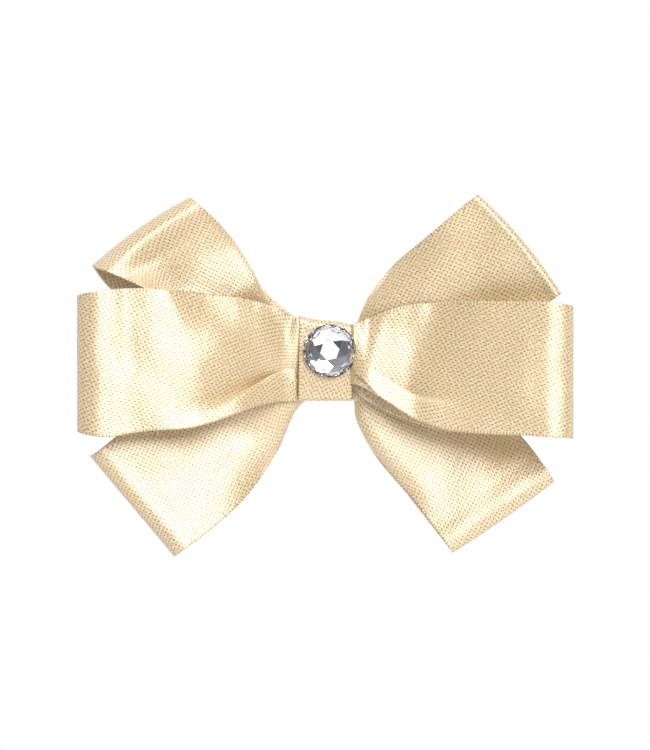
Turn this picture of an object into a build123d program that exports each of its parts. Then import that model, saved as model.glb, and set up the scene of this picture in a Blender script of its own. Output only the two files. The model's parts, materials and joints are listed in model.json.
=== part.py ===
"""Satin hair bow with a foil-backed crystal, on a sprung alligator clip.

Frame: X runs along the bow, +Z is up as worn, the bow faces -Y and the hair side is +Y.
The origin is on the upper jaw's gripping face, behind the middle of the knot.
The layers are stacked along Y from the clip's upper jaw towards the crystal.
Every length is in millimetres and every angle in degrees.
"""

from build123d import *
import math
import os

# Ribbon stock
RIBBON_WIDTH = 25.0
SATIN = 0.35
NARROW_WIDTH = 10.0
NARROW_SATIN = 0.3

# Knot
KNOT_HEIGHT = 15.2
FRONT_WAIST_DEPTH = 1.8
BACK_WAIST_DEPTH = 1.3
THREAD_DIAMETER = 0.3
THREAD_TURNS = 4
THREAD_PITCH = 0.55
LAYER_GAP = 0.05
WAIST_PAST_WRAP = 0.2
FRONT_GLUE_SHARE = 0.5
CLIP_GLUE_SHARE = 0.8
WRAP_LAP_SHARE = 0.7

# Outline of every loop, as shares of its reach: how far the gathered cloth runs level out of
# the waist, where its curve is pulled to the loop's own direction, and where it is straight
LEVEL_UNTIL = 0.08
PULLED_AT = 0.34
STRAIGHT_FROM = 0.62
PAST_FOLD = 1.0

# Front bow: how far each loop reaches from the knot, how far its end sits above or
# below the knot, and where the middle of its end fold lies in depth
FRONT_REACH_LEFT = 46.1
FRONT_REACH_RIGHT = 46.0
FRONT_DRIFT_LEFT = -0.5
FRONT_DRIFT_RIGHT = -2.2
FRONT_FOLD_RADIUS = 3.2
FRONT_FOLD_DEPTH = 14.0

# Rising back ribbon, from the lower left loop to the upper right loop
RISING_ANGLE = 40.0
RISING_REACH_UPPER = 41.7
RISING_REACH_LOWER = 45.1
RISING_DRIFT_UPPER = -6.6
RISING_DRIFT_LOWER = 2.5
RISING_FOLD_RADIUS = 2.2
RISING_FOLD_DEPTH = 7.4

# Falling back ribbon, from the upper left loop to the lower right loop
FALLING_ANGLE = -55.0
FALLING_REACH_UPPER = 39.6
FALLING_REACH_LOWER = 43.2
FALLING_DRIFT_UPPER = -14.5
FALLING_DRIFT_LOWER = 10.4
FALLING_FOLD_RADIUS = 1.9
FALLING_FOLD_DEPTH = 3.2
FALLING_FLAT_RATIO = 1.7

# Crystal
STONE_DIAMETER = 10.0
STONE_HEIGHT = 3.7
STONE_GIRDLE = 0.6
STONE_TABLE_RADIUS = 1.5
STONE_TABLE_SIDES = 6
STONE_CROWN_SLOPE = 20.0
STONE_SHOULDER_SLOPE = 42.0
STONE_RIM_SLOPE = 60.0
STONE_TURN = 12.0
STONE_RIGHT = 0.8
STONE_UP = 1.8
FOIL = 0.08
ADHESIVE = 0.2
ADHESIVE_MARGIN = 0.35

# Clip
SHEET = 0.6
UPPER_WIDTH = 8.0
TIP_X = -25.0
LEVER_X = 23.0
PIVOT_X = 10.0
EAR_RADIUS = 1.75
PIN_RADIUS = 0.6
PIN_HEAD_RADIUS = 1.1
PIN_HEAD = 0.4
PIN_HEAD_ROUNDING = 0.24
RUNNING_CLEARANCE = 0.05
EAR_GAP = 0.2
RIVET_CLEARANCE = 0.02
TOOTH_PITCH = 2.2
TOOTH_DEPTH = 1.0
TOOTH_COUNT = 6
TOOTH_FLAT_SHARE = 0.3
TOOTH_VALLEY_SHARE = 0.65
JAW_CLEARANCE = 0.15
RELIEF = 1.4
LEVER_ANGLE = 26.0
LEVER_LENGTH = 14.0
LEVER_WIDTH = 8.0
LEVER_WALL_SHARE = 0.75
CORNER = 1.5
ON_FACE = 0.01

# Torsion spring
WIRE = 0.7
COIL_RADIUS = 1.25
COIL_LENGTH = 2.6
COIL_TURNS = 4
LEG_LENGTH = 7.0
LEVER_GAP = 0.03

# Lining
LINING_TIP_TAIL = 15.5
LINING_LEVER_TAIL = 7.5

# Depths of the stack, worked out from the clip's upper jaw forwards
LINING_FRONT = -SHEET - NARROW_SATIN
FALLING_BACK = LINING_FRONT - THREAD_DIAMETER - 2 * LAYER_GAP
RISING_BACK = FALLING_BACK - BACK_WAIST_DEPTH
FRONT_BACK = RISING_BACK - BACK_WAIST_DEPTH - 2 * (THREAD_DIAMETER + LAYER_GAP)
WRAP_INSIDE = FRONT_BACK - FRONT_WAIST_DEPTH - THREAD_DIAMETER - 2 * LAYER_GAP
WRAP_FRONT = WRAP_INSIDE - NARROW_SATIN
WAIST_HEIGHT = KNOT_HEIGHT - 2 * (NARROW_SATIN + THREAD_DIAMETER + 2 * LAYER_GAP)
WAIST_HALF_LENGTH = NARROW_WIDTH / 2 + WAIST_PAST_WRAP
RISING_PINCH = math.hypot(WAIST_HALF_LENGTH, WAIST_HEIGHT / 2)
FALLING_PINCH = FALLING_FLAT_RATIO * RISING_PINCH

# The coil's leg lies on the lining, and the lower jaw's base passes outside the coil
COIL_OUTSIDE = COIL_RADIUS + WIRE / 2
PIVOT_Y = NARROW_SATIN + LAYER_GAP + COIL_OUTSIDE
LOWER_DEPTH = PIVOT_Y + EAR_RADIUS + 2 * LAYER_GAP
LEVER_INSIDE = COIL_OUTSIDE + LEVER_GAP
LOWER_EAR_OUTSIDE = UPPER_WIDTH / 2 - SHEET - EAR_GAP
TOOTH_TIP_Y = NARROW_SATIN + JAW_CLEARANCE


def strip_point(angle, along, across):
    """A point of a ribbon strip that leaves the knot at an angle, as X and Z."""
    turn = math.radians(angle)
    return (
        along * math.cos(turn) - across * math.sin(turn),
        along * math.sin(turn) + across * math.cos(turn),
    )


def side_curve(corner, angle, reach, edge):
    """One edge of a loop: curving out from a corner of the waist, then straight past the fold."""
    side = math.copysign(1, reach)
    level = (corner[0] + LEVEL_UNTIL * reach, corner[1])
    pull = strip_point(angle, PULLED_AT * reach, edge)
    straight = strip_point(angle, STRAIGHT_FROM * reach, edge)
    end = strip_point(angle, reach + side * PAST_FOLD, edge)
    return [Bezier(corner, level, pull, straight), Line(straight, end)]


def bow_outline(angle, reach_right, drift_right, reach_left, drift_left):
    """Front view of a two-looped bow, gathered at the waist and full width at its ends."""
    half_length, half_height = WAIST_HALF_LENGTH, WAIST_HEIGHT / 2
    half_ribbon = RIBBON_WIDTH / 2
    edges = [
        *side_curve((half_length, half_height), angle, reach_right, drift_right + half_ribbon),
        *side_curve((half_length, -half_height), angle, reach_right, drift_right - half_ribbon),
        *side_curve((-half_length, half_height), angle, -reach_left, drift_left + half_ribbon),
        *side_curve((-half_length, -half_height), angle, -reach_left, drift_left - half_ribbon),
        Line((-half_length, half_height), (half_length, half_height)),
        Line((-half_length, -half_height), (half_length, -half_height)),
        Line(
            strip_point(angle, reach_right + PAST_FOLD, drift_right + half_ribbon),
            strip_point(angle, reach_right + PAST_FOLD, drift_right - half_ribbon),
        ),
        Line(
            strip_point(angle, -reach_left - PAST_FOLD, drift_left + half_ribbon),
            strip_point(angle, -reach_left - PAST_FOLD, drift_left - half_ribbon),
        ),
    ]
    return make_face([Plane.XZ * edge for edge in edges])


def loop_band(pinch, waist_middle, waist_depth, reach, fold_radius, fold_depth):
    """Edge view of one loop: a belt from the pinched waist round the end fold."""
    small = (pinch, waist_middle)
    big = (reach - fold_radius, -fold_depth)
    outside = make_hull(
        [Edge.make_circle(waist_depth / 2).moved(Location(small)),
         Edge.make_circle(fold_radius).moved(Location(big))]
    )
    inside = make_hull(
        [Edge.make_circle(waist_depth / 2 - SATIN / 2).moved(Location(small)),
         Edge.make_circle(fold_radius - SATIN).moved(Location(big))]
    )
    return outside - inside


def bow_ribbon(outline, angle, pinch, waist_back, waist_depth, fold_radius, fold_depth,
               reach_right, reach_left):
    """A ribbon closed into two loops and gathered to a flat waist between them."""
    middle = waist_back - waist_depth / 2
    right = loop_band(pinch, middle, waist_depth, reach_right, fold_radius, fold_depth)
    left = mirror(
        loop_band(pinch, middle, waist_depth, reach_left, fold_radius, fold_depth),
        about=Plane.YZ,
    )
    waist = Pos(0, middle) * Rectangle(2 * pinch, waist_depth)
    span = 2 * (RIBBON_WIDTH + max(reach_right, reach_left))
    bands = extrude(right + left + waist, span / 2, both=True)
    return (Rot(0, -angle, 0) * bands) & extrude(outline, span, both=True)


def front_bow():
    outline = bow_outline(
        0, FRONT_REACH_RIGHT, FRONT_DRIFT_RIGHT, FRONT_REACH_LEFT, FRONT_DRIFT_LEFT
    )
    return bow_ribbon(
        outline, 0, WAIST_HALF_LENGTH, FRONT_BACK, FRONT_WAIST_DEPTH,
        FRONT_FOLD_RADIUS, FRONT_FOLD_DEPTH, FRONT_REACH_RIGHT, FRONT_REACH_LEFT,
    )


def rising_bow():
    outline = bow_outline(
        RISING_ANGLE, RISING_REACH_UPPER, RISING_DRIFT_UPPER,
        RISING_REACH_LOWER, RISING_DRIFT_LOWER,
    )
    return bow_ribbon(
        outline, RISING_ANGLE, RISING_PINCH, RISING_BACK, BACK_WAIST_DEPTH,
        RISING_FOLD_RADIUS, RISING_FOLD_DEPTH, RISING_REACH_UPPER, RISING_REACH_LOWER,
    )


def falling_bow():
    outline = bow_outline(
        FALLING_ANGLE, FALLING_REACH_LOWER, FALLING_DRIFT_LOWER,
        FALLING_REACH_UPPER, FALLING_DRIFT_UPPER,
    )
    return bow_ribbon(
        outline, FALLING_ANGLE, FALLING_PINCH, FALLING_BACK, BACK_WAIST_DEPTH,
        FALLING_FOLD_RADIUS, FALLING_FOLD_DEPTH, FALLING_REACH_LOWER, FALLING_REACH_UPPER,
    )


def gather_thread(waist_back, waist_depth):
    """Turns of thread round a gathered waist, each closed on itself."""
    offset = THREAD_DIAMETER / 2 + LAYER_GAP
    depth = waist_depth + 2 * offset
    height = WAIST_HEIGHT + 2 * offset
    path = Plane.YZ * Pos(waist_back - waist_depth / 2, 0) * RectangleRounded(
        depth, height, THREAD_DIAMETER / 2 + LAYER_GAP
    )
    wire = path.wire()
    section = Plane(origin=wire @ 0, z_dir=wire % 0) * Circle(THREAD_DIAMETER / 2)
    turn = sweep(section, path=wire)
    first = -(THREAD_TURNS - 1) / 2 * THREAD_PITCH
    return [Pos(first + n * THREAD_PITCH, 0, 0) * turn for n in range(THREAD_TURNS)]


def glue_pads(back, front, height):
    """Two pads of glue, one on each side of the thread."""
    inner = THREAD_TURNS / 2 * THREAD_PITCH + THREAD_DIAMETER / 2
    outer = NARROW_WIDTH / 2 - LAYER_GAP
    width, depth = outer - inner, back - front
    pad = fillet(
        Box(width, depth, height).edges().filter_by(Axis.Y), min(width, height) / 4
    )
    middle = (inner + outer) / 2
    return [Pos(x, (back + front) / 2, 0) * pad for x in (-middle, middle)]


def centre_wrap():
    """Narrow ribbon round the knot and the clip's upper jaw, its ends lapped inside the jaw."""
    knot_half = KNOT_HEIGHT / 2 - NARROW_SATIN
    jaw_half = UPPER_WIDTH / 2 + 2 * LAYER_GAP
    hollow = Plane.YZ * Polygon(
        (WRAP_INSIDE, knot_half), (WRAP_INSIDE, -knot_half), (LINING_FRONT, -knot_half),
        (0, -jaw_half), (0, jaw_half), (LINING_FRONT, knot_half), align=None,
    )
    ring = offset(hollow, NARROW_SATIN, kind=Kind.ARC) - hollow
    lap_height = WRAP_LAP_SHARE * 2 * jaw_half
    lap = Plane.YZ * Pos(1.5 * NARROW_SATIN, 0) * Rectangle(NARROW_SATIN, lap_height)
    return extrude(ring + lap, NARROW_WIDTH / 2, both=True)


def cut_facets(shape, count, first_azimuth, slope, radius, height):
    """Cuts a ring of equal flat facets that pass a given distance from the axis at a height."""
    lean = math.radians(slope)
    for n in range(count):
        turn = math.radians(first_azimuth + n * 360 / count)
        normal = (
            math.sin(lean) * math.cos(turn), math.sin(lean) * math.sin(turn), math.cos(lean)
        )
        point = (radius * math.cos(turn), radius * math.sin(turn), height)
        facet = Plane(origin=point, z_dir=normal)
        shape = split(shape, bisect_by=facet, keep=Keep.BOTTOM)
    return shape


def rhinestone():
    """Flat-backed rose-cut crystal: a small table, a crown, a shoulder and a rim of facets."""
    radius = STONE_DIAMETER / 2
    stone = Cylinder(radius, STONE_HEIGHT, align=(Align.CENTER, Align.CENTER, Align.MIN))
    sides, corner = STONE_TABLE_SIDES, 180 / STONE_TABLE_SIDES
    stone = cut_facets(stone, 2 * sides, corner / 2, STONE_RIM_SLOPE, radius, STONE_GIRDLE)
    shoulder_radius = (radius + STONE_TABLE_RADIUS) / 2
    drop = (shoulder_radius - STONE_TABLE_RADIUS) * math.tan(math.radians(STONE_CROWN_SLOPE))
    stone = cut_facets(
        stone, sides, corner, STONE_SHOULDER_SLOPE, shoulder_radius, STONE_HEIGHT - drop
    )
    stone = cut_facets(stone, sides, 0, STONE_CROWN_SLOPE, STONE_TABLE_RADIUS, STONE_HEIGHT)
    return face_forward(Rot(0, 0, STONE_TURN) * stone, WRAP_FRONT - ADHESIVE - FOIL)


def face_forward(shape, depth):
    """Turns a part that stands up along Z to face the front, at the crystal's place."""
    return Pos(STONE_RIGHT, depth, STONE_UP) * Rot(90, 0, 0) * shape


def stone_foil():
    disc = Cylinder(STONE_DIAMETER / 2 - FOIL, FOIL,
                    align=(Align.CENTER, Align.CENTER, Align.MIN))
    return face_forward(disc, WRAP_FRONT - ADHESIVE)


def stone_adhesive():
    disc = Cylinder(STONE_DIAMETER / 2 - ADHESIVE_MARGIN, ADHESIVE,
                    align=(Align.CENTER, Align.CENTER, Align.MIN))
    return face_forward(disc, WRAP_FRONT)


def both_sides(outline, inside, outside):
    """A wall of a side outline at each side of the clip, between two distances from its middle."""
    wall = Pos(0, 0, inside) * extrude(outline, outside - inside)
    return wall + mirror(wall, about=Plane.XY)


def upper_jaw():
    """Flat plate that carries the bow, with an ear for the hinge pin on each side."""
    length = LEVER_X - TIP_X
    outline = Pos((LEVER_X + TIP_X) / 2, 0) * RectangleRounded(length, UPPER_WIDTH, CORNER)
    plate = extrude(Plane.XZ * outline, SHEET)
    foot = 2 * EAR_RADIUS + 2 * SHEET
    ear_top = Pos(PIVOT_X, PIVOT_Y) * Circle(EAR_RADIUS)
    ear = make_hull(
        (ear_top + Pos(PIVOT_X, -SHEET / 2) * Rectangle(foot, SHEET)).edges()
    )
    hole = Pos(PIVOT_X, PIVOT_Y) * Circle(PIN_RADIUS + RIVET_CLEARANCE)
    ears = both_sides(ear - hole, UPPER_WIDTH / 2 - SHEET, UPPER_WIDTH / 2)
    jaw = plate + ears
    bends = [
        edge for edge in jaw.edges().filter_by(Axis.X)
        if abs(edge.center().Y + SHEET) < ON_FACE
        and abs(abs(edge.center().Z) - UPPER_WIDTH / 2) < ON_FACE
    ]
    return fillet(bends, SHEET / 2)


def lever_point(along, away):
    """A point of the lower lever, measured along it and away from the pin."""
    turn = math.radians(LEVER_ANGLE)
    return (
        PIVOT_X + along * math.cos(turn) - away * math.sin(turn),
        PIVOT_Y + along * math.sin(turn) + away * math.cos(turn),
    )


def lower_side_outline():
    """Side wall of the lower jaw: teeth at the tip, a relief behind the knot, the ear, the lever."""
    lever_out = LEVER_INSIDE + SHEET
    relief_y = TOOTH_TIP_Y + RELIEF
    front_x = TIP_X + SHEET
    teeth = []
    for n in range(TOOTH_COUNT):
        start = front_x + n * TOOTH_PITCH
        teeth += [
            (start, TOOTH_TIP_Y), (start + TOOTH_FLAT_SHARE * TOOTH_PITCH, TOOTH_TIP_Y),
            (start + TOOTH_VALLEY_SHARE * TOOTH_PITCH, TOOTH_TIP_Y + TOOTH_DEPTH),
        ]
    last = front_x + TOOTH_COUNT * TOOTH_PITCH
    wall_end = LEVER_WALL_SHARE * LEVER_LENGTH
    wall = Polygon(
        *teeth, (last, TOOTH_TIP_Y), (last + TOOTH_PITCH / 2, TOOTH_TIP_Y),
        (last + TOOTH_PITCH, relief_y), (PIVOT_X - EAR_RADIUS - SHEET, relief_y),
        (PIVOT_X - EAR_RADIUS, PIVOT_Y), (PIVOT_X, PIVOT_Y - EAR_RADIUS / 2),
        lever_point(EAR_RADIUS, 0), lever_point(wall_end, LEVER_INSIDE - SHEET),
        lever_point(wall_end, lever_out), lever_point(0, lever_out),
        (PIVOT_X - EAR_RADIUS, LOWER_DEPTH), (front_x, LOWER_DEPTH), align=None,
    )
    ear = Pos(PIVOT_X, PIVOT_Y) * Circle(EAR_RADIUS)
    hole = Pos(PIVOT_X, PIVOT_Y) * Circle(PIN_RADIUS + RUNNING_CLEARANCE)
    return wall + ear - hole


def lower_jaw():
    """Toothed channel and thumb lever in one piece of sheet, open where the coil sits."""
    outside, inside = LOWER_EAR_OUTSIDE, LOWER_EAR_OUTSIDE - SHEET
    walls = both_sides(lower_side_outline(), inside, outside)
    front_x = TIP_X + SHEET
    base_end = PIVOT_X - EAR_RADIUS
    base = Pos((front_x + base_end) / 2, LOWER_DEPTH - SHEET / 2, 0) * Box(
        base_end - front_x, SHEET, 2 * outside
    )
    lip_height = LOWER_DEPTH - TOOTH_TIP_Y - TOOTH_DEPTH / 2
    lip = Pos(front_x + SHEET / 2, LOWER_DEPTH - lip_height / 2, 0) * Box(
        SHEET, lip_height, 2 * outside
    )
    thumb = Pos(LEVER_LENGTH / 2, LEVER_INSIDE + SHEET / 2, 0) * Rot(90, 0, 0) * extrude(
        RectangleRounded(LEVER_LENGTH, LEVER_WIDTH, CORNER), SHEET / 2, both=True
    )
    neck = Pos(-LEVER_LENGTH / 4, LEVER_INSIDE + SHEET / 2, LEVER_WIDTH / 2 + outside) * Box(
        LEVER_LENGTH, SHEET * 2, LEVER_WIDTH
    )
    thumb = thumb - neck - mirror(neck, about=Plane.XY)
    thumb = Pos(PIVOT_X, PIVOT_Y, 0) * Rot(0, 0, LEVER_ANGLE) * thumb
    jaw = walls + base + lip + thumb
    bends = [
        edge for edge in jaw.edges().filter_by(Axis.X)
        if abs(edge.center().Y - LOWER_DEPTH) < ON_FACE
        and abs(abs(edge.center().Z) - outside) < ON_FACE
    ]
    return fillet(bends, SHEET / 2)


def hinge_pin():
    """Rivet through both pairs of ears, with a head at each end."""
    shank = Cylinder(PIN_RADIUS, UPPER_WIDTH)
    head = Cylinder(PIN_HEAD_RADIUS, PIN_HEAD)
    rim = head.edges().filter_by(GeomType.CIRCLE).sort_by(Axis.Z)[-1]
    head = fillet(rim, PIN_HEAD_ROUNDING)
    top = Pos(0, 0, UPPER_WIDTH / 2 + PIN_HEAD / 2) * head
    rivet = shank + top + mirror(top, about=Plane.XY)
    return Pos(PIVOT_X, PIVOT_Y, 0) * rivet


def torsion_spring():
    """Wire coil round the pin, one leg along the upper jaw and one under the thumb lever."""
    swept = 360 * COIL_TURNS - 180 - LEVER_ANGLE
    helix = Helix(
        pitch=COIL_LENGTH * 360 / swept, height=COIL_LENGTH, radius=COIL_RADIUS, lefthand=True
    )
    coil = Pos(PIVOT_X, PIVOT_Y, -COIL_LENGTH / 2) * Rot(0, 0, -90) * helix
    start, finish = coil @ 0, coil @ 1
    jaw_leg = Line(start - (coil % 0) * LEG_LENGTH, start)
    lever_leg = Line(finish, finish + (coil % 1) * LEG_LENGTH)
    path = Wire([jaw_leg, coil, lever_leg])
    section = Plane(origin=path @ 0, z_dir=path % 0) * Circle(WIRE / 2)
    return sweep(section, path=path)


def clip_lining():
    """Narrow ribbon on the upper jaw's front, turned round both of its ends."""
    length = LEVER_X - TIP_X
    plate = Pos((LEVER_X + TIP_X) / 2, -SHEET / 2) * Rectangle(length, SHEET)
    band = offset(plate, NARROW_SATIN, kind=Kind.ARC) - plate
    bare_from, bare_to = TIP_X + LINING_TIP_TAIL, LEVER_X - LINING_LEVER_TAIL
    bare = Pos((bare_from + bare_to) / 2, SHEET) * Rectangle(bare_to - bare_from, 2 * SHEET)
    return extrude(band - bare, NARROW_WIDTH / 2, both=True)


def build_parts():
    """Every sub-part by the name of its node; a list is a group of separate solids."""
    waist_top = RISING_BACK - BACK_WAIST_DEPTH
    return {
        "front_bow_ribbon": front_bow(),
        "back_ribbon_rising": rising_bow(),
        "back_ribbon_falling": falling_bow(),
        "front_gather_thread": gather_thread(FRONT_BACK, FRONT_WAIST_DEPTH),
        "back_gather_thread": gather_thread(FALLING_BACK, 2 * BACK_WAIST_DEPTH),
        "glue_front_to_back": glue_pads(waist_top, FRONT_BACK, FRONT_GLUE_SHARE * WAIST_HEIGHT),
        "glue_bow_to_clip": glue_pads(LINING_FRONT, FALLING_BACK, CLIP_GLUE_SHARE * UPPER_WIDTH),
        "centre_wrap_ribbon": centre_wrap(),
        "rhinestone": rhinestone(),
        "rhinestone_foil": stone_foil(),
        "stone_adhesive": stone_adhesive(),
        "clip_lining_ribbon": clip_lining(),
        "clip_upper_jaw": upper_jaw(),
        "clip_lower_jaw": lower_jaw(),
        "hinge_pin": hinge_pin(),
        "torsion_spring": torsion_spring(),
    }


def main():
    os.makedirs("parts", exist_ok=True)
    for name, part in build_parts().items():
        shape = Compound(children=part) if isinstance(part, list) else part
        export_step(shape, f"parts/{name}.step")


main()
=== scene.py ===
# %% [markdown]
# # A satin hair bow with a crystal, on an alligator clip
# The real thing is three lengths of light gold satin ribbon, each closed into two loops and
# gathered at the middle. A narrow ribbon binds them to a sprung clip, and a flat-backed crystal
# is glued on top. The clip's metal comes from the CAD model as it is. Everything soft, and the
# crystal, is made here as a mesh around that model.

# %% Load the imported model
import json
import math

import bmesh
import bpy
import numpy as np
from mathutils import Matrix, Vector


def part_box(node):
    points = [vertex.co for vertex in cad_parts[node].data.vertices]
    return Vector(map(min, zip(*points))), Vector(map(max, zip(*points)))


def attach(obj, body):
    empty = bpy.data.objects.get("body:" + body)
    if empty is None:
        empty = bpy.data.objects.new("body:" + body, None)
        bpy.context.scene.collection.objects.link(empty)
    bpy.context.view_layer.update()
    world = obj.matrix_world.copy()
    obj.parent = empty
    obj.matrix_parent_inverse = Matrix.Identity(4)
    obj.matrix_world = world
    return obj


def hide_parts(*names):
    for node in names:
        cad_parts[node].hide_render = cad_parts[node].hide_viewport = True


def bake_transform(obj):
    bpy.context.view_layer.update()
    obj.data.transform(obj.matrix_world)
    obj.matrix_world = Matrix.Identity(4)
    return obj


MM = 0.001
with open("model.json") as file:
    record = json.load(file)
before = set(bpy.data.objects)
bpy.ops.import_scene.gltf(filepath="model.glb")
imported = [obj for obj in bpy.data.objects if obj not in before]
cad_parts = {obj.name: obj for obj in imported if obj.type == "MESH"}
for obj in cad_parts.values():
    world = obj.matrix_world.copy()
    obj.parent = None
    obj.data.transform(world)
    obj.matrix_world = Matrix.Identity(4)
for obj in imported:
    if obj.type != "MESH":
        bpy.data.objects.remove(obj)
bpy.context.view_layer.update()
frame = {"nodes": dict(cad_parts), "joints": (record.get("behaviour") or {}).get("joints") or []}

# %% [markdown]
# ## The studio first
# A small object like this is shot with a long lens from straight in front, so there is hardly
# any perspective. The backdrop is pure white. The satin gets its bright bands from one large
# softbox beside the camera, up and to the right, and its gold from everything else. The room is
# lighter above than below. For the crystal there is a dark patch under the camera.

# %% Camera, floor and lights
CAMERA_DISTANCE = 0.9
VIEW_HEIGHT = 0.141
SENSOR = 36.0


def look_at(thing, target):
    """Turns a camera or a lamp, which point along their own -Z, towards a point."""
    direction = np.array(target) - np.array(thing.location)
    yaw = math.atan2(direction[1], direction[0]) - math.pi / 2
    pitch = math.atan2(direction[2], math.hypot(direction[0], direction[1]))
    thing.rotation_euler = (math.pi / 2 + pitch, 0, yaw)


middle = (-0.0001, -0.005, -0.0027)
camera = bpy.data.objects.new("camera", bpy.data.cameras.new("camera"))
bpy.context.scene.collection.objects.link(camera)
camera.location = (middle[0], middle[1] - CAMERA_DISTANCE, middle[2])
camera.data.sensor_width = SENSOR
camera.data.lens = SENSOR * CAMERA_DISTANCE / VIEW_HEIGHT
camera.data.clip_start = 0.01
look_at(camera, middle)
bpy.context.scene.camera = camera
bpy.context.scene.view_settings.view_transform = "Standard"


def softbox(name, place, size, watts):
    lamp = bpy.data.objects.new(name, bpy.data.lights.new(name, "AREA"))
    lamp.data.shape = "RECTANGLE"
    lamp.data.size, lamp.data.size_y = size
    lamp.data.energy = watts
    lamp.location = place
    look_at(lamp, middle)
    bpy.context.scene.collection.objects.link(lamp)


softbox("key_softbox", (0.21, -0.78, 0.38), (0.46, 0.46), 6.2)
softbox("top_softbox", (-0.15, -0.25, 0.8), (0.6, 0.3), 1.2)
softbox("low_softbox", (0.2, -0.75, -0.3), (0.5, 0.3), 1.0)

floor_mesh = bpy.data.meshes.new("floor")
half, level = 0.6, -0.2
floor_mesh.from_pydata(
    [(-half, -half, level), (half, -half, level), (half, half, level), (-half, half, level)],
    [], [(0, 1, 2, 3)],
)
floor = bpy.data.objects.new("floor", floor_mesh)
bpy.context.scene.collection.objects.link(floor)

# %% [markdown]
# ## A short way to write materials
# Every surface below is a small network of nodes. These helpers keep each network readable:
# one makes a node, one does arithmetic, and one mixes two colours.

# %% Node helpers
def new_material(name):
    material = bpy.data.materials.new(name)
    material.use_nodes = True
    return material, material.node_tree, material.node_tree.nodes["Principled BSDF"]


def put(tree, socket, value):
    if isinstance(value, bpy.types.NodeSocket):
        tree.links.new(value, socket)
    else:
        socket.default_value = value


def add(tree, kind, inputs=(), **settings):
    """A node with its settings and its inputs, given by name or by number."""
    node = tree.nodes.new(kind)
    for key, value in settings.items():
        setattr(node, key, value)
    for key, value in dict(inputs).items():
        put(tree, node.inputs[key], value)
    return node


def maths(tree, operation, a, b=0.0, clamp=False):
    node = add(tree, "ShaderNodeMath", {0: a, 1: b}, operation=operation, use_clamp=clamp)
    return node.outputs[0]


def mixed(tree, share, a, b):
    node = add(tree, "ShaderNodeMix", data_type="RGBA")
    put(tree, node.inputs[0], share)
    put(tree, node.inputs[6], a)
    put(tree, node.inputs[7], b)
    return node.outputs[2]


def noise(tree, where, scale, detail=2.0):
    node = add(tree, "ShaderNodeTexNoise", {"Vector": where, "Scale": scale, "Detail": detail})
    return node.outputs["Fac"]


def bump(tree, height, strength, distance):
    node = add(tree, "ShaderNodeBump",
               {"Height": height, "Strength": strength, "Distance": distance})
    return node.outputs["Normal"]


def srgb(red, green, blue, alpha=1.0):
    """A colour picked on screen, from 0 to 255, as the linear values that shaders use."""
    linear = [
        c / 255 / 12.92 if c / 255 <= 0.04045 else ((c / 255 + 0.055) / 1.055) ** 2.4
        for c in (red, green, blue)
    ]
    return (*linear, alpha)


# %% [markdown]
# ## The room that the satin and the crystal reflect
# The camera sees a plain white backdrop. Reflections see something else: a room that is lighter
# above than below, with a small glow round the camera and one dark patch under it, which is
# there to give the clear stone some contrast.

# %% World and floor surfaces
world = bpy.data.worlds.new("studio")
bpy.context.scene.world = world
world.use_nodes = True
tree = world.node_tree
back = tree.nodes["Background"]
toward = add(tree, "ShaderNodeSeparateXYZ",
             {0: add(tree, "ShaderNodeTexCoord").outputs["Generated"]})
upward = add(tree, "ShaderNodeMapRange",
             {"Value": toward.outputs["Z"], "From Min": -0.55, "From Max": 0.75,
              "To Min": 0.06, "To Max": 0.46}, interpolation_type="SMOOTHSTEP")
dark_way = add(tree, "ShaderNodeVectorMath", {
    0: add(tree, "ShaderNodeTexCoord").outputs["Generated"],
    1: (0.05, -math.cos(math.radians(24)), -math.sin(math.radians(24)))}, operation="DOT_PRODUCT")
beside = add(tree, "ShaderNodeMapRange",
             {"Value": dark_way.outputs["Value"], "From Min": 0.99, "From Max": 0.90,
              "To Min": 0.05, "To Max": 1.0}, interpolation_type="SMOOTHSTEP")
glow = add(tree, "ShaderNodeMapRange",
           {"Value": toward.outputs["Y"], "From Min": -0.985, "From Max": -0.997,
            "To Min": 0.0, "To Max": 1.3}, interpolation_type="SMOOTHSTEP")
behind = add(tree, "ShaderNodeMapRange",
             {"Value": toward.outputs["Y"], "From Min": -0.3, "From Max": 0.3, "To Min": 0.0,
              "To Max": 0.6}, interpolation_type="SMOOTHSTEP")
seen = add(tree, "ShaderNodeLightPath").outputs["Is Camera Ray"]
room = maths(tree, "ADD", maths(tree, "ADD", behind.outputs[0], glow.outputs[0]),
             maths(tree, "MULTIPLY", upward.outputs[0], beside.outputs[0]))
put(tree, back.inputs["Strength"], maths(tree, "MAXIMUM", room, seen))
back.inputs["Color"].default_value = (1, 1, 1, 1)

material, tree, shader = new_material("white_floor")
shader.inputs["Base Color"].default_value = (0.9, 0.9, 0.9, 1)
shader.inputs["Roughness"].default_value = 0.9
floor.data.materials.append(material)

# %% [markdown]
# ## Satin
# Satin is a five-end weave: each thread floats over four others and dips under the fifth. The
# dips make a slanting grid of fine dots, and the long floats lie along the ribbon, so light
# spreads across the ribbon and stays sharp along it. That is why a bent satin ribbon shows
# clear bright bands. The weave needs two lengths in millimetres, along and across the ribbon,
# and every ribbon mesh below carries them as its UV map.

# %% Satin material
BOW_WIDTH = 25.0
NARROW_WIDTH = 10.0
THREAD = 0.31
EDGE_BAND = 0.55


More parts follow.
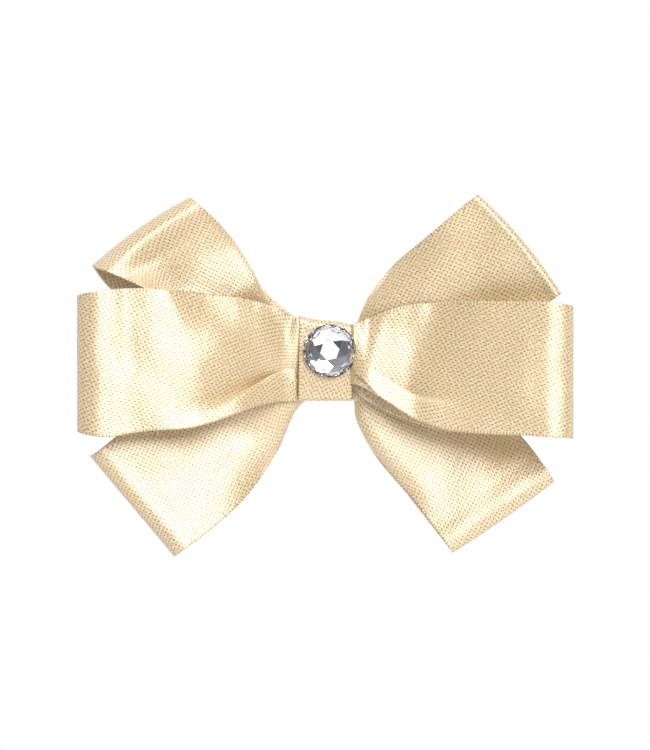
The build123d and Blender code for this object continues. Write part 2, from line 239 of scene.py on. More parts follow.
def satin(name, width, base, shadow, glint):
    """Gold satin. width is the ribbon's width in millimetres, which places its two edges. base is
    the satin's own colour; shadow is painted shade and glint a painted highlight.
    """
    material, tree, shader = new_material(name)
    uv = add(tree, "ShaderNodeUVMap", uv_map="ribbon").outputs[0]
    lengths = add(tree, "ShaderNodeSeparateXYZ", {0: uv})
    along, across = lengths.outputs["X"], lengths.outputs["Y"]
    # Counted in threads, the dips sit on a square grid turned so that its sides are (2, 1) and
    # (1, -2). First the place in that grid, then how far the nearest dip is each way.
    picks = maths(tree, "DIVIDE", along, THREAD)
    ends = maths(tree, "DIVIDE", across, THREAD)
    one = maths(tree, "DIVIDE", maths(tree, "ADD", maths(tree, "MULTIPLY", picks, 2.0), ends), 5.0)
    two = maths(tree, "DIVIDE", maths(
        tree, "SUBTRACT", picks, maths(tree, "MULTIPLY", ends, 2.0)), 5.0)
    one = maths(tree, "SUBTRACT", maths(tree, "FRACT", one), 0.5)
    two = maths(tree, "SUBTRACT", maths(tree, "FRACT", two), 0.5)
    longways = maths(tree, "ADD", maths(tree, "MULTIPLY", one, 2.0), two)
    sideways = maths(tree, "SUBTRACT", one, maths(tree, "MULTIPLY", two, 2.0))
    far = maths(tree, "ADD", maths(tree, "MULTIPLY", maths(tree, "POWER", longways, 2.0), 1.2),
                maths(tree, "MULTIPLY", maths(tree, "POWER", sideways, 2.0), 4.0))
    dip = maths(tree, "SUBTRACT", 1.0, far, True)
    # Threads are never alike: small flecks vary their tone at random, and the brighter ones are
    # painted glints, where a filament would catch the light
    speck = add(tree, "ShaderNodeTexNoise", {"Vector": uv, "Scale": 2.6, "Detail": 3.0},
                noise_dimensions="2D").outputs["Fac"]
    crinkle = add(tree, "ShaderNodeTexNoise", {"Vector": uv, "Scale": 0.85, "Detail": 2.0},
                  noise_dimensions="2D").outputs["Fac"]
    # The woven edge is a narrow plain band with a tick at each turn of the weft
    to_edge = maths(tree, "SUBTRACT", width / 2,
                    maths(tree, "ABSOLUTE", maths(tree, "SUBTRACT", across, width / 2)))
    edge = maths(tree, "LESS_THAN", to_edge, EDGE_BAND)
    tick = maths(tree, "SINE", maths(tree, "MULTIPLY", along, math.pi / THREAD))
    tick = maths(tree, "MULTIPLY", edge, tick)
    dip = maths(tree, "MULTIPLY", dip, maths(tree, "SUBTRACT", 1.0, edge))

    # The colour: the weave's dips are painted shade, in the dark shadow tone, as well as hollows in
    # the bump; bright flecks are painted glints
    tone = maths(tree, "SUBTRACT", 0.70, maths(tree, "MULTIPLY", dip, 0.85))
    tone = maths(tree, "ADD", tone, maths(tree, "MULTIPLY", tick, 0.3))
    tone = maths(tree, "SUBTRACT", tone, maths(tree, "MULTIPLY", edge, 0.16))
    tone = maths(tree, "ADD", tone, maths(
        tree, "MULTIPLY", maths(tree, "SUBTRACT", speck, 0.5), 1.5), True)
    ramp = add(tree, "ShaderNodeValToRGB", {0: tone})
    ramp.color_ramp.elements[0].color = shadow
    ramp.color_ramp.elements[1].color = glint
    ramp.color_ramp.elements.new(0.6).color = base
    put(tree, shader.inputs["Base Color"], ramp.outputs[0])
    put(tree, shader.inputs["Roughness"],
        maths(tree, "ADD", 0.29, maths(tree, "MULTIPLY", speck, 0.26)))
    shader.inputs["Metallic"].default_value = 0.15
    shader.inputs["IOR"].default_value = 2.4
    shader.inputs["Specular IOR Level"].default_value = 0.68
    shader.inputs["Anisotropic"].default_value = 0.8
    shader.inputs["Anisotropic Rotation"].default_value = 0.25
    put(tree, shader.inputs["Tangent"],
        add(tree, "ShaderNodeTangent", direction_type="UV_MAP", uv_map="ribbon").outputs[0])
    height = maths(tree, "SUBTRACT", maths(tree, "MULTIPLY", speck, 1.1), dip)
    height = maths(tree, "ADD", height, maths(tree, "MULTIPLY", crinkle, 1.4))
    height = maths(tree, "ADD", height, maths(tree, "MULTIPLY", tick, 0.25))
    put(tree, shader.inputs["Normal"], bump(tree, height, 0.6, 0.00006))
    return material


# The satin's own gold, a darker tone for painted shade, and a lighter one for painted glints
gold = srgb(224, 196, 145), srgb(134, 103, 60), srgb(244, 224, 182)
gold_satin = satin("gold_satin", BOW_WIDTH, *gold)
narrow_satin = satin("narrow_gold_satin", NARROW_WIDTH, *gold)

# %% [markdown]
# ## From a flat ribbon to a pleated one
# A ribbon doesn't stretch, so a gathered cut across it holds as much cloth as a flat one. Each
# cut is drawn by walking that cloth and turning on the way. Two turns, one there and one back,
# make a pleat. A turn near an edge rolls that edge behind. The narrower the space that the cut
# has to fit, the further it turns, so the pleat closes by itself towards the knot.
#
# Afterwards the cuts are pressed flatter, to fit between their neighbours, and that step does
# lose cloth. The front bow keeps nearly all of its area. The back ribbons, which are rolled
# most, keep about four fifths, and half at their tightest cut beside the knot.

# %% Cuts across the ribbon
ACROSS = 72
FINE = 6
ROLL = math.radians(126)
QUICK_SHUT = 0.3
HALVINGS = 14


def ease(x):
    x = np.clip(x, 0, 1)
    return x * x * (3 - 2 * x)


def walk(cloth, closed, pleat, roll_low, roll_high, wave):
    """Points of one cut: how far up its own height, and how far behind its front. closed goes
    from 0, flat, to 1, shut. A pleat is its place from the low edge, its depth when shut, the
    softness of its turns, how the ribbon above it leans over, and how the flap below it lifts."""
    place, depth, soft, lean, lift = pleat
    fine = np.linspace(0, cloth, ACROSS * FINE)
    heading = np.zeros(len(fine))
    if depth:
        shut = math.pi * closed**QUICK_SHUT
        begun = ease((fine - place) / soft + 0.5)
        done = ease((fine - place - depth * closed) / soft + 0.5)
        above = np.clip((fine - place - depth) / (cloth - place - depth), 0, 1)
        heading += shut * (begun - done) + shut * lift * (1 - begun)
        heading -= math.pi * closed * lean * done * (1 - above**2)
    if roll_low:
        heading -= ROLL * closed * np.sign(roll_low) * (1 - ease(fine / abs(roll_low)))
    if roll_high:
        heading += ROLL * closed * ease((fine - cloth) / roll_high + 1)
    heading += wave * np.sin(2 * math.pi * fine / cloth)
    steps = fine[1] * np.stack([np.cos(heading[:-1]), np.sin(heading[:-1])])
    up, behind = np.concatenate([np.zeros((2, 1)), np.cumsum(steps, axis=1)], axis=1)
    t = np.linspace(0, cloth, ACROSS)
    return np.interp(t, fine, up), np.interp(t, fine, behind)


def closing(cloth, height, *shape):
    """How far the pleat and the rolls have to close for the cut to fit in a height."""
    least, most = 0.0, 1.0
    for _ in range(HALVINGS):
        closed = (least + most) / 2
        if np.ptp(walk(cloth, closed, *shape)[0]) > height:
            least = closed
        else:
            most = closed
    return closed


def smooth(values, reach):
    """An even running average that keeps both ends."""
    spread = np.exp(-0.5 * (np.arange(-3 * reach, 3 * reach + 1) / reach) ** 2)
    padded = np.pad(values, 3 * reach, mode="edge")
    return np.convolve(padded, spread / spread.sum(), mode="valid")


# %% [markdown]
# ## From cuts to a ribbon
# The cuts follow a path seen from the ribbon's edge: out from the knot, round the fold at the
# end of the loop, back behind, and the same on the other side. Between 33 and 43 keys for
# each ribbon give the path and the ribbon's two edges, and a smooth curve runs
# through them. Satin shows every change of slope as a change of tone, which is why it takes
# that many.
#
# Three things then make it lie like cloth. Its depth is slanted, so that a swell runs across
# the ribbon at an angle. It is pressed against what it rests on, softly, so that no crease
# forms there. Last, a few slow waves make it look handled.

# %% Ribbon builder
STEP = 0.45
CLOTH = 0.22
SLACK = 0.1
SOFT_START = 8
CRUMPLE = 0.006
LAYER = 0.5
PRESSED = 0.3
# Distances from the middle of the bow, or over which something changes
WRAP_EDGE = 4.5
SIDES_MEET = 6
PLEAT_OPENS = 16
PUFF_OPENS = 8
SLANT_OPENS = 4
SLANT_SOFT = 6
END_FROM = 22
CUT_END = 16
FOLD_END = 18
# Shares
FACES_FRONT = 0.5
KNOT_PUFF = 0.3
REAR_PUFF = 0.3
WAVE_FADE = 0.7


def through(keys, stations, wanted):
    """A smooth curve through keys, one column for each value, at the wanted stations."""
    gap = np.diff(stations)[:, None]
    slope = np.diff(keys, axis=0) / gap
    tangent = np.empty_like(keys)
    tangent[0], tangent[-1] = slope[0], slope[-1]
    tangent[1:-1] = (slope[:-1] * gap[1:] + slope[1:] * gap[:-1]) / (gap[1:] + gap[:-1])
    i = np.clip(np.searchsorted(stations, wanted, side="right") - 1, 0, len(stations) - 2)
    h = gap[i]
    x = ((wanted - stations[i]) / h[:, 0])[:, None]
    return (
        (2 * x**3 - 3 * x**2 + 1) * keys[i] + (x**3 - 2 * x**2 + x) * h * tangent[i]
        + (3 * x**2 - 2 * x**3) * keys[i + 1] + (x**3 - x**2) * h * tangent[i + 1]
    )


def crumple(along, across):
    """Slight uneven waves in handled cloth, in millimetres."""
    height = 0
    for length, turn, start in ((17, 0.5, 0.0), (11, 1.9, 1.3), (8.3, 0.9, 4.1), (13, 2.6, 2.2)):
        place = along * math.cos(turn) + across * math.sin(turn)
        height = height + CRUMPLE * length * np.sin(2 * math.pi * place / length + start)
    return height


def cloth_mesh(name, points, along, across, material):
    """A thin ribbon through a grid of points, with its lengths in millimetres as UVs."""
    rows, columns = points.shape[:2]
    index = np.arange(rows * columns).reshape(rows, columns)
    faces = np.stack([index[:-1, :-1], index[1:, :-1], index[1:, 1:], index[:-1, 1:]], -1)
    mesh = bpy.data.meshes.new(name)
    mesh.from_pydata((points.reshape(-1, 3) * MM).tolist(), [], faces.reshape(-1, 4).tolist())
    layer = mesh.uv_layers.new(name="ribbon")
    uv = np.stack(np.broadcast_arrays(along[:, None], across[None, :]), -1).reshape(-1, 2)
    corner = np.empty(len(mesh.loops), np.int32)
    mesh.loops.foreach_get("vertex_index", corner)
    layer.uv.foreach_set("vector", uv[corner].astype(np.float32).ravel())
    mesh.shade_smooth()
    mesh.materials.append(material)
    piece = bpy.data.objects.new(name, mesh)
    bpy.context.scene.collection.objects.link(piece)
    thick = piece.modifiers.new("cloth thickness", "SOLIDIFY")
    thick.thickness = CLOTH * MM
    thick.offset = 0
    return piece


def bow_ribbon(name, angle, keys, rest, left, right):
    """A ribbon closed into two loops. Each key is the distance along the bow, the depth in
    front of the clip, and the heights of the ribbon's low and high edges, all in millimetres.
    rest is the depth of what it lies on: the rear sheet stays in front of that, and the front
    sheet one layer further. left and right tell how each side is gathered."""
    keys = np.array(keys, float)
    chord = np.hypot(*np.diff(keys[:, :2], axis=0).T)
    stations = np.concatenate([[0], np.cumsum(chord)])
    wanted = np.linspace(0, stations[-1], int(stations[-1] / STEP))
    path = through(keys, stations, wanted)
    direction = np.gradient(path[:, :2], axis=0)
    direction /= np.linalg.norm(direction, axis=1)[:, None]
    outward = np.stack([-direction[:, 1], direction[:, 0]], -1)
    t = np.linspace(0, BOW_WIDTH, ACROSS)
    shapes = []
    for u, w, low, high in path:
        share = float(ease(u / SIDES_MEET + 0.5))
        away = float(ease((abs(u) - WRAP_EDGE) / PLEAT_OPENS))
        gather = {key: left[key] * (1 - share) + right[key] * share
                  for key in ("place", "depth", "place_out", "lean", "lift", "roll_low",
                              "roll_high", "wave")}
        pleat = (gather["place"] * (1 - away) + gather["place_out"] * away, gather["depth"],
                 1.0 + 3.0 * away, gather["lean"], gather["lift"])
        end = float(ease((abs(u) - END_FROM) / CUT_END))
        cloth = max(BOW_WIDTH * (1 - SLACK * end), high - low)
        shapes.append((cloth, pleat, gather["roll_low"], gather["roll_high"],
                       gather["wave"] * away * (1 - WAVE_FADE * end)))
    closed = smooth(np.array([
        closing(shape[0], high - low, *shape[1:])
        for shape, (low, high) in zip(shapes, path[:, 2:])]), SOFT_START)
    points = np.empty((len(path), ACROSS, 3))
    turn = math.radians(angle)
    rows = np.arange(len(path))
    for n, (u, w, low, high) in enumerate(path):
        side = right if u > 0 else left
        outer = math.copysign(1, u)
        away = float(ease((abs(u) - WRAP_EDGE) / PUFF_OPENS))
        end = float(ease((abs(u) - END_FROM) / FOLD_END))
        up, behind = walk(shapes[n][0], closed[n], *shapes[n][1:])
        up = low + (up - up.min()) * (high - low) / np.ptp(up)
        facing = outward[n, 1]
        if facing > FACES_FRONT:
            above = up - (low + high) / 2
            above = (above + np.hypot(above, SLANT_SOFT)) / 2
            opened = ease((abs(u) - WRAP_EDGE) / SLANT_OPENS)
            aside = side["skew"] * above * opened * (1 - end)
            w = np.interp(n - outer * aside / STEP, rows, path[:, 1])
        held = behind.min()
        if side["hold"] is not None:
            known = float(ease((abs(u) - WRAP_EDGE) / side["hold_by"]))
            held += known * (behind[int(side["hold"] * (ACROSS - 1))] - held)
        puff = KNOT_PUFF + (side["puff"] - KNOT_PUFF) * away
        behind = (behind - held) * puff * (1 if facing > 0 else REAR_PUFF)
        spare = w - abs(facing) * behind - rest - (LAYER if facing > 0 else 0)
        w_here = w - abs(facing) * behind + (np.hypot(spare, PRESSED) - spare) / 2
        w_here += away * crumple(wanted[n], t)
        u_here = u + outer * side["bulge"] * end * (1 - (2 * t / BOW_WIDTH - 1) ** 2)
        points[n, :, 0] = u_here * math.cos(turn) - up * math.sin(turn)
        points[n, :, 1] = -w_here
        points[n, :, 2] = u_here * math.sin(turn) + up * math.cos(turn)
    piece = cloth_mesh(name, points, wanted, t, gold_satin)
    cloth = np.linalg.norm(np.diff(points, axis=1), axis=2).sum(1)
    print(name, "is", round(wanted[-1]), "mm long and", cloth.min().round(1), "to",
          cloth.max().round(1), "mm across")
    return piece, wanted[-1]


def gathers(place=12.0, depth=0.0, place_out=12.0, lean=0.0, lift=0.0, roll_low=0.0,
            roll_high=0.0, wave=0.0, bulge=0.0, hold=None, hold_by=0.1, skew=0.0, puff=1.0):
    """How one side is gathered: a pleat, rolled edges, a slight wave, and a bulged fold. The
    keys' depth is that of the cut's front, or of its point at a share hold of the way up,
    reached over a distance hold_by from the wrap. skew slants what the keys' depth does: at
    the high edge it comes further out. puff is how deep the cut stays when it is pressed."""
    return {"place": place, "depth": depth, "place_out": place_out, "lean": lean,
            "lift": lift, "roll_low": roll_low, "roll_high": roll_high, "wave": wave,
            "bulge": bulge, "hold": hold, "hold_by": hold_by, "skew": skew, "puff": puff}


# %% [markdown]
# ## The front bow
# It lies level. Its right loop is pinched narrower at the knot than its left one, and on both
# sides the lower part of the ribbon is a flap that lies over the upper part.

# %% Front bow
FRONT_KEYS = [
    (0, 6.0, -5.4, 6.9),
    (4.4, 6.4, -4.5, 6.7),
    (5.6, 8.9, -4.4, 6.9),
    (7.2, 10.1, -5.0, 7.6),
    (9.2, 10.4, -6.2, 8.4),
    (12.2, 10.5, -8.1, 9.6),
    (16.0, 10.5, -10.6, 10.5),
    (20.0, 11.9, -12.2, 10.8),
    (25.9, 13.5, -13.3, 11.1),
    (32.1, 15.1, -13.7, 11.0),
    (38.3, 16.8, -14.0, 10.9),
    (42.4, 17.5, -14.3, 10.7),
    (45.2, 16.6, -14.4, 10.3),
    (46.0, 14.4, -14.5, 10.1),
    (44.8, 12.2, -14.3, 10.3),
    (41.0, 11.3, -14.1, 10.6),
    (30.0, 9.9, -13.8, 10.9),
    (19.0, 7.6, -12.4, 10.4),
    (12.4, 6.0, -10.0, 9.2),
    (8.0, 5.1, -7.6, 7.6),
    (5.0, 4.9, -5.4, 6.7),
    (0, 4.9, -5.6, 6.7),
    (-5.0, 4.9, -6.6, 7.0),
    (-9.0, 5.3, -7.4, 8.4),
    (-18.0, 7.4, -10.2, 11.2),
    (-30.0, 10.2, -12.2, 12.6),
    (-41.0, 11.5, -13.2, 12.4),
    (-44.9, 12.4, -13.1, 12.2),
    (-46.1, 14.2, -13.1, 12.0),
    (-45.4, 16.2, -13.5, 12.3),
    (-43.2, 17.3, -14.0, 12.7),
    (-39.7, 17.1, -14.2, 13.2),
    (-36.5, 16.4, -13.6, 13.4),
    (-33.0, 16.3, -13.1, 13.4),
    (-29.5, 16.2, -12.9, 13.2),
    (-25.5, 15.8, -12.6, 12.9),
    (-21.3, 15.2, -11.6, 12.4),
    (-16.2, 13.2, -9.7, 11.8),
    (-12.5, 10.7, -8.5, 11.0),
    (-8.5, 8.0, -7.7, 9.7),
    (-4.8, 5.5, -7.5, 7.7),
    (-3.6, 4.9, -7.2, 7.5),
    (0, 5.0, -6.0, 7.1),
]
front_bow, front_length = bow_ribbon(
    "front_bow_satin", 0, FRONT_KEYS, 3.6,
    left=gathers(place=6.6, depth=5.2, place_out=2.9, lean=0.45, lift=0.1, hold=0.6, skew=0.9),
    right=gathers(place=4.8, depth=7.2, place_out=5.0, lean=-0.1, lift=0.12, hold=0.12,
                  skew=0.45, puff=0.45),
)
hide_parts("front_bow_ribbon")
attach(front_bow, "bow")

# %% [markdown]
# ## The two back ribbons
# They cross behind the front bow, one rising to the right and one falling. Seen in the
# direction of each ribbon, the edge beside the knot is rolled behind until it is well out.

# %% Back ribbons
RISING_KEYS = [
    (0, 3.6, -6.0, 5.2),
    (5.0, 3.7, -7.6, 3.0),
    (8.4, 4.2, -9.4, 1.2),
    (10.6, 4.7, -10.6, 2.35),
    (13.9, 5.7, -12.4, 3.9),
    (18.4, 6.7, -14.8, 5.1),
    (22.2, 7.3, -16.4, 5.6),
    (26.8, 7.8, -17.6, 5.6),
    (33.0, 8.4, -18.4, 5.6),
    (39.6, 9.3, -18.6, 5.6),
    (41.1, 9.6, -18.7, 5.5),
    (41.6, 9.2, -18.7, 5.5),
    (41.7, 7.9, -18.7, 5.4),
    (41.0, 6.0, -18.7, 5.4),
    (37.0, 5.3, -18.4, 5.6),
    (28.0, 4.6, -17.4, 5.4),
    (18.0, 3.8, -14.2, 4.6),
    (9.0, 3.1, -9.8, 1.6),
    (0, 2.9, -6.0, 5.2),
    (-9.0, 3.1, -3.3, 8.0),
    (-18.0, 3.8, -7.2, 12.0),
    (-28.0, 4.6, -9.8, 13.6),
    (-40.0, 5.3, -10.2, 14.2),
    (-44.2, 6.0, -9.8, 14.5),
    (-45.1, 7.8, -9.7, 14.6),
    (-45.0, 9.8, -9.9, 14.6),
    (-44.0, 11.2, -10.0, 14.4),
    (-40.0, 10.7, -10.3, 14.3),
    (-36.0, 9.8, -10.4, 14.2),
    (-29.0, 7.9, -10.1, 13.8),
    (-24.8, 6.9, -9.3, 13.4),
    (-21.0, 6.2, -8.3, 12.8),
    (-16.7, 6.0, -6.5, 11.8),
    (-13.0, 5.8, -4.6, 10.4),
    (-10.1, 5.3, -3.3, 9.0),
    (-5.0, 3.8, -4.0, 7.0),
    (0, 3.7, -6.0, 5.2),
]
FALLING_KEYS = [
    (0, 2.3, -5.6, 5.6),
    (5.0, 2.3, -2.6, 7.6),
    (9.1, 2.4, 0.1, 10.2),
    (11.7, 2.5, -1.25, 12.4),
    (15.3, 2.8, -2.1, 14.8),
    (19.5, 3.2, -2.4, 17.2),
    (24.5, 3.7, -2.0, 19.4),
    (30.5, 4.3, -1.5, 21.2),
    (36.8, 5.2, -1.3, 22.2),
    (41.8, 6.2, -1.2, 22.3),
    (42.9, 6.0, -1.2, 22.2),
    (43.2, 4.5, -1.2, 22.0),
    (42.5, 2.0, -1.2, 22.2),
    (40.0, 1.3, -1.3, 22.4),
    (30.0, 1.3, -1.8, 21.6),
    (18.0, 1.5, -2.4, 17.0),
    (9.0, 1.6, 0.2, 10.8),
    (0, 1.6, -5.6, 5.6),
    (-9.0, 1.6, -10.6, 0.4),
    (-18.0, 1.5, -17.4, -2.0),
    (-28.0, 1.3, -23.2, -1.4),
    (-35.0, 1.3, -25.6, -2.0),
    (-38.6, 2.0, -25.8, -3.0),
    (-39.6, 3.2, -25.7, -3.3),
    (-39.4, 5.6, -25.6, -3.2),
    (-38.4, 7.0, -24.9, -2.9),
    (-33.0, 5.7, -21.4, -1.7),
    (-28.0, 4.5, -18.6, -1.3),
    (-21.3, 4.1, -15.6, -1.65),
    (-15.0, 4.1, -12.8, -2.4),
    (-9.0, 2.6, -10.4, 0.2),
    (-5.0, 2.3, -8.0, 2.8),
    (0, 2.3, -5.6, 5.6),
]
rising, rising_length = bow_ribbon(
    "rising_back_satin", 40, RISING_KEYS, 2.7,
    left=gathers(roll_low=11.0, roll_high=6.0, wave=0.15, puff=0.75),
    right=gathers(roll_low=14.0, roll_high=9.0, wave=-0.1, bulge=0.9),
)
falling, falling_length = bow_ribbon(
    "falling_back_satin", -55, FALLING_KEYS, 1.1,
    left=gathers(roll_low=-16.0, roll_high=5.0, wave=-0.1, bulge=0.7, hold=0.85, hold_by=16,
                 puff=0.6),
    right=gathers(roll_low=5.0, roll_high=14.0, wave=0.1, bulge=0.3),
)
for piece, node, length in (
    (rising, "back_ribbon_rising", rising_length),
    (falling, "back_ribbon_falling", falling_length),
):
    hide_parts(node)
    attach(piece, "bow")

# %% [markdown]
# ## The centre wrap
# A narrow ribbon goes once round the knot and the clip's fixed jaw, between the jaws, where
# its ends lap. It is wound a little askew, so its top edge slopes down to the right.

# %% Centre wrap
NARROW_ACROSS = 34
ASKEW = 0.006
SAG = 0.0036
CROWN = 0.088
LEAN_OVER = 0.10
wrap_low, wrap_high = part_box("centre_wrap_ribbon")
jaw_low, jaw_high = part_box("clip_upper_jaw")


def rounded_path(corners, radii, spacing=0.2):
    """Straight runs with an arc at each corner, as closely spaced points."""
    corners = np.array(corners, float)
    out = [corners[0]]
    for before, at, after, radius in zip(corners, corners[1:], corners[2:], radii):
        a, b = before - at, after - at
        a, b = a / np.linalg.norm(a), b / np.linalg.norm(b)
        half = math.acos(np.clip(a @ b, -1, 1)) / 2
        reach = radius / math.tan(half)
        start, stop = at + a * reach, at + b * reach
        centre = at + (a + b) / np.linalg.norm(a + b) * radius / math.sin(half)
        for share in np.linspace(0, 1, 9):
            spoke = (start - centre) * (1 - share) + (stop - centre) * share
            out.append(centre + spoke / np.linalg.norm(spoke) * radius)
    out.append(corners[-1])
    out = np.array(out)
    length = np.concatenate([[0], np.cumsum(np.linalg.norm(np.diff(out, axis=0), axis=1))])
    wanted = np.linspace(0, length[-1], int(length[-1] / spacing))
    return np.stack([np.interp(wanted, length, out[:, k]) for k in range(out.shape[1])], -1), wanted


def centre_wrap():
    front, back = wrap_low.y / MM + CLOTH / 2, 0.18
    top, half_jaw = wrap_high.z / MM - CLOTH / 2, jaw_high.z / MM + 0.25
    ring = [
        (back, -2.6), (back, half_jaw), (-0.95, half_jaw + 0.9), (-1.6, top - 0.2),
        (front + 0.2, top), (front, 1.8), (front + 0.35, -top), (-1.6, -top + 0.2),
        (-0.95, -half_jaw - 0.9), (back, -half_jaw), (back + 0.28, 0), (back + 0.28, 2.9),
    ]
    path, along = rounded_path(ring, (0.3, 0.6, 0.8, 1.1, 28, 1.1, 0.8, 0.6, 0.3, 2))
    across = np.linspace(0, NARROW_WIDTH, NARROW_ACROSS)
    points = np.empty((len(path), len(across), 3))
    for column, distance in enumerate(across):
        x = distance - NARROW_WIDTH / 2
        slant = np.where(path[:, 1] > 0, 1 - ASKEW * x - SAG * x * abs(x), 1)
        across_front = ease((-path[:, 0] - 5.5) / 1.2)
        crown = CROWN * (1 - (2 * x / NARROW_WIDTH) ** 2) * across_front
        points[:, column, 0] = x + LEAN_OVER * (path[:, 1] / top) * (path[:, 0] < -3)
        points[:, column, 1] = path[:, 0] - crown
        points[:, column, 2] = path[:, 1] * slant
    return cloth_mesh("centre_wrap_satin", points, along, across, narrow_satin), along[-1]


wrap, wrap_length = centre_wrap()
print("centre wrap length", round(wrap_length, 1), "mm")
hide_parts("centre_wrap_ribbon")
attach(wrap, "bow")

# %% [markdown]
# ## The clip's lining
# A strip of the same narrow ribbon is glued along the front of the clip's fixed jaw and turned
# over both of its ends, so that the metal doesn't show from above and the hair doesn't slip.

# %% Clip lining
TURNED_AT_TIP = 15.0
TURNED_AT_LEVER = 7.0
LINING_CORNER = 0.35


def clip_lining():
    lining_low, lining_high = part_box("clip_lining_ribbon")
    tip, lever = lining_low.x / MM + CLOTH / 2, lining_high.x / MM - CLOTH / 2
    front, inside = jaw_low.y / MM - 0.16, 0.16
    line = [(tip + TURNED_AT_TIP, inside), (tip, inside), (tip, front), (lever, front),
            (lever, inside), (lever - TURNED_AT_LEVER, inside)]
    path, along = rounded_path(line, [LINING_CORNER] * 4)
    across = np.linspace(0, NARROW_WIDTH, NARROW_ACROSS)
    points = np.empty((len(path), len(across), 3))
    points[:, :, 0] = path[:, :1]
    points[:, :, 1] = path[:, 1:]
    points[:, :, 2] = across[None, :] - NARROW_WIDTH / 2
    return cloth_mesh("clip_lining_satin", points, along, across, narrow_satin), along[-1]


lining, lining_length = clip_lining()
print("clip lining length", round(lining_length, 1), "mm")
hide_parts("clip_lining_ribbon")
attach(lining, "bow")

# %% [markdown]
# ## The crystal
# It is rose cut with a flat foiled back: a small six-sided table, crown facets round it, and
# steeper ones down to the rim. Only the corners between the facets are set here. The tightest
# skin round them gives the flat facets that make the stone sparkle.

# %% Crystal
AIR_GAP = 0.02


def crystal():
    low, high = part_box("rhinestone")
    centre_x, centre_z = (low.x + high.x) / 2, (low.z + high.z) / 2
    radius, height = (high.x - low.x) / 2, high.y - low.y
    # Corners in rings from the table out: count, first azimuth, distance out and height
    rings = [(6, 0, 0.37, 1.0), (6, 30, 0.60, 0.86), (12, 15, 0.80, 0.60), (24, 0, 1.0, 0.16),
             (24, 0, 1.0, AIR_GAP / height * MM)]
    cut = bmesh.new()
    for count, first, out, up in rings:
        for n in range(count):
            turn = math.radians(12 + first + n * 360 / count)
            cut.verts.new((centre_x + out * radius * math.cos(turn), high.y - up * height,
                           centre_z + out * radius * math.sin(turn)))
    bmesh.ops.convex_hull(cut, input=cut.verts)
    bmesh.ops.dissolve_limit(cut, angle_limit=math.radians(1), verts=cut.verts, edges=cut.edges)
    bmesh.ops.recalc_face_normals(cut, faces=cut.faces)
    mesh = bpy.data.meshes.new("cut_crystal")
    cut.to_mesh(mesh)
    cut.free()
    piece = bpy.data.objects.new("cut_crystal", mesh)
    bpy.context.scene.collection.objects.link(piece)
    return piece


stone = crystal()
print("crystal facets:", len(stone.data.polygons))
material, tree, shader = new_material("clear_crystal")
shader.inputs["Base Color"].default_value = (0.96, 0.97, 1.0, 1)
shader.inputs["Transmission Weight"].default_value = 1.0
shader.inputs["IOR"].default_value = 1.56
place = add(tree, "ShaderNodeTexCoord").outputs["Object"]
put(tree, shader.inputs["Roughness"], maths(tree, "MULTIPLY", noise(tree, place, 900.0), 0.004))
stone.data.materials.append(material)
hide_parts("rhinestone")
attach(stone, "bow")

# %% [markdown]
# ## The torsion spring
# The coil sits round the hinge pin. One leg presses on the fixed jaw and the other under the
# thumb lever, so the wire winds up as the clip opens. Here it is one fixed wire: a coil along
# the pin, with a straight leg out of each end.

# %% Spring
def tube(name, path, radius, sides=14):
    """A round wire along a path, with rounded ends."""
    path = np.array(path, float)
    along = np.gradient(path, axis=0)
    along /= np.linalg.norm(along, axis=1)[:, None]
    side = np.cross(along[0], (0.3, 0.2, 1.0))
    size = np.full(len(path), radius)
    end = np.linalg.norm(path - path[0], axis=1)
    finish = np.linalg.norm(path - path[-1], axis=1)
    for distance in (end, finish):
        near = distance < radius
        size[near] = np.minimum(size[near], np.sqrt(np.clip(
            radius**2 - (radius - distance[near]) ** 2, 0, None)) + radius * 0.05)
    rings = []
    for n, point in enumerate(path):
        side = side - (side @ along[n]) * along[n]
        side /= np.linalg.norm(side)
        other = np.cross(along[n], side)
        turns = np.linspace(0, 2 * math.pi, sides, endpoint=False)[:, None]
        rings.append(point + size[n] * (np.cos(turns) * side + np.sin(turns) * other))
    points = np.concatenate(rings)
    faces = []
    for n in range(len(path) - 1):
        for k in range(sides):
            a, b = n * sides + k, n * sides + (k + 1) % sides
            faces.append((a, b, b + sides, a + sides))
    faces.append(tuple(range(sides))[::-1])
    faces.append(tuple(len(points) - sides + k for k in range(sides)))
    mesh = bpy.data.meshes.new(name)
    mesh.from_pydata((points * MM).tolist(), [], faces)
    mesh.shade_smooth()
    piece = bpy.data.objects.new(name, mesh)
    bpy.context.scene.collection.objects.link(piece)
    return piece


joint = frame["joints"][0]
pivot = np.array(joint["pos_m"]) / MM
WIRE = 0.7
COIL = 1.25
COIL_LENGTH = 2.6
COIL_TURNS = 4
LEG = 7.0
LEVER_ANGLE = 26.0
sweep_angle = math.radians(360 * COIL_TURNS - 180 - LEVER_ANGLE)
turn = np.linspace(0, sweep_angle, 200)
coil_points = np.stack([
    COIL * np.cos(-math.pi / 2 - turn), COIL * np.sin(-math.pi / 2 - turn),
    COIL_LENGTH * (turn / sweep_angle - 0.5)], -1)
first = coil_points[0] - coil_points[1]
last = coil_points[-1] - coil_points[-2]
legs = np.linspace(0, LEG, 30)[1:, None]
spring_path = np.concatenate([
    (coil_points[0] + first / np.linalg.norm(first) * legs)[::-1], coil_points,
    coil_points[-1] + last / np.linalg.norm(last) * legs])
spring = tube("spring_wire", spring_path + pivot, WIRE / 2)
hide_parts("torsion_spring")
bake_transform(spring)

# %% [markdown]
# ## Metal, thread, glue and foil
# These are the CAD pieces as they are, each with its own surface. Pressed steel with nickel on
# it isn't a perfect mirror: it has faint rolling lines, small scratches, and duller patches.

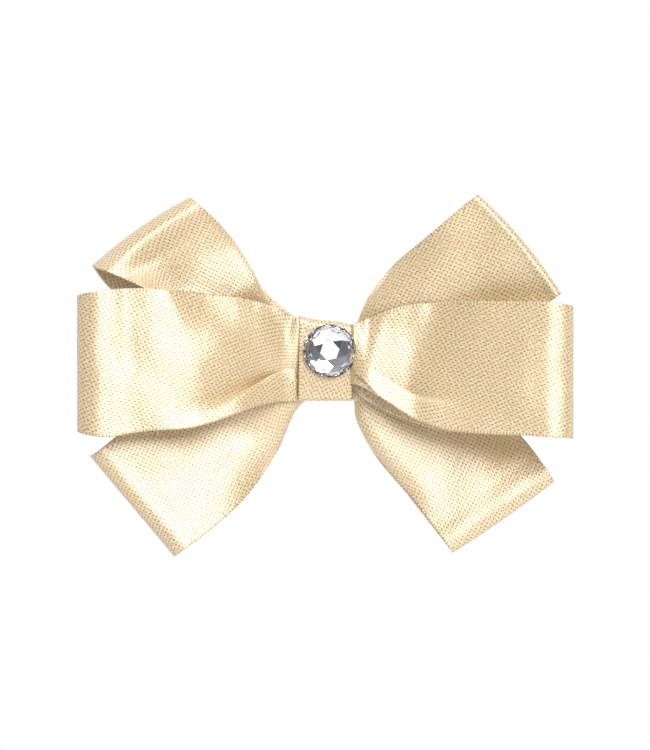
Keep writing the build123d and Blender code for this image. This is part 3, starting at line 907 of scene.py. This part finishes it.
# %% Metal surfaces
def metal(name, colour, roughness, line_scale, dull):
    material, tree, shader = new_material(name)
    place = add(tree, "ShaderNodeTexCoord").outputs["Object"]
    stretched = add(tree, "ShaderNodeMapping", {"Vector": place, "Scale": line_scale}).outputs[0]
    lines = noise(tree, stretched, 900.0, 3.0)
    patches = noise(tree, place, 160.0, 4.0)
    put(tree, shader.inputs["Base Color"],
        mixed(tree, patches, colour, tuple(c * dull for c in colour[:3]) + (1,)))
    shader.inputs["Metallic"].default_value = 1.0
    rough = maths(tree, "ADD", roughness, maths(tree, "MULTIPLY", lines, 0.12))
    put(tree, shader.inputs["Roughness"],
        maths(tree, "ADD", rough, maths(tree, "MULTIPLY", patches, 0.08)))
    put(tree, shader.inputs["Normal"], bump(tree, lines, 0.12, 0.00002))
    return material


nickel = metal("nickel_plate", (0.62, 0.61, 0.59, 1), 0.14, (0.12, 1, 1), 0.86)
rivet = metal("rivet_steel", (0.5, 0.5, 0.5, 1), 0.24, (1, 1, 0.2), 0.8)
wire_steel = metal("spring_wire_steel", (0.42, 0.42, 0.43, 1), 0.28, (1, 1, 1), 0.8)
spring.data.materials.append(wire_steel)


def thread_surface():
    """Twisted sewing thread: slanting strands, with a painted highlight along each strand's top and
    painted shade between them.
    """
    material, tree, shader = new_material("gold_thread")
    place = add(tree, "ShaderNodeTexCoord").outputs["Object"]
    strands = add(tree, "ShaderNodeTexWave", {"Vector": place, "Scale": 1500.0, "Distortion": 1.5},
                  bands_direction="DIAGONAL").outputs["Fac"]
    put(tree, shader.inputs["Base Color"],
        mixed(tree, strands, srgb(176, 146, 100), srgb(232, 210, 170)))
    shader.inputs["Roughness"].default_value = 0.6
    put(tree, shader.inputs["Normal"], bump(tree, strands, 0.6, 0.00004))
    return material


def glue_surface():
    """Hot-melt glue: milky and glossy, with small bubbles."""
    material, tree, shader = new_material("clear_glue")
    place = add(tree, "ShaderNodeTexCoord").outputs["Object"]
    bubbles = add(tree, "ShaderNodeTexVoronoi", {"Vector": place, "Scale": 1200.0}).outputs[0]
    put(tree, shader.inputs["Base Color"],
        mixed(tree, bubbles, (0.82, 0.79, 0.7, 1), (0.9, 0.88, 0.82, 1)))
    shader.inputs["Roughness"].default_value = 0.22
    shader.inputs["Subsurface Weight"].default_value = 0.3
    shader.inputs["Subsurface Scale"].default_value = 0.0006
    put(tree, shader.inputs["Normal"], bump(tree, noise(tree, place, 500.0), 0.3, 0.00005))
    return material


def foil_surface():
    """Silvered back of the crystal, very slightly crinkled."""
    material, tree, shader = new_material("silver_foil")
    place = add(tree, "ShaderNodeTexCoord").outputs["Object"]
    crinkle = noise(tree, place, 350.0, 3.0)
    put(tree, shader.inputs["Base Color"],
        mixed(tree, crinkle, (0.72, 0.73, 0.76, 1), (0.9, 0.9, 0.92, 1)))
    shader.inputs["Metallic"].default_value = 1.0
    shader.inputs["Roughness"].default_value = 0.05
    put(tree, shader.inputs["Normal"], bump(tree, crinkle, 0.15, 0.00003))
    return material


surfaces = {
    "clip_upper_jaw": nickel, "clip_lower_jaw": nickel, "hinge_pin": rivet,
    "torsion_spring": wire_steel, "front_gather_thread": thread_surface(),
    "rhinestone_foil": foil_surface(), "stone_adhesive": glue_surface(),
}
surfaces["back_gather_thread"] = surfaces["front_gather_thread"]
surfaces["glue_front_to_back"] = surfaces["glue_bow_to_clip"] = surfaces["stone_adhesive"]
for node, surface in surfaces.items():
    mesh = frame["nodes"][node].data
    mesh.materials.clear()
    mesh.materials.append(surface)
print("CAD pieces with their own surface:", len(surfaces))
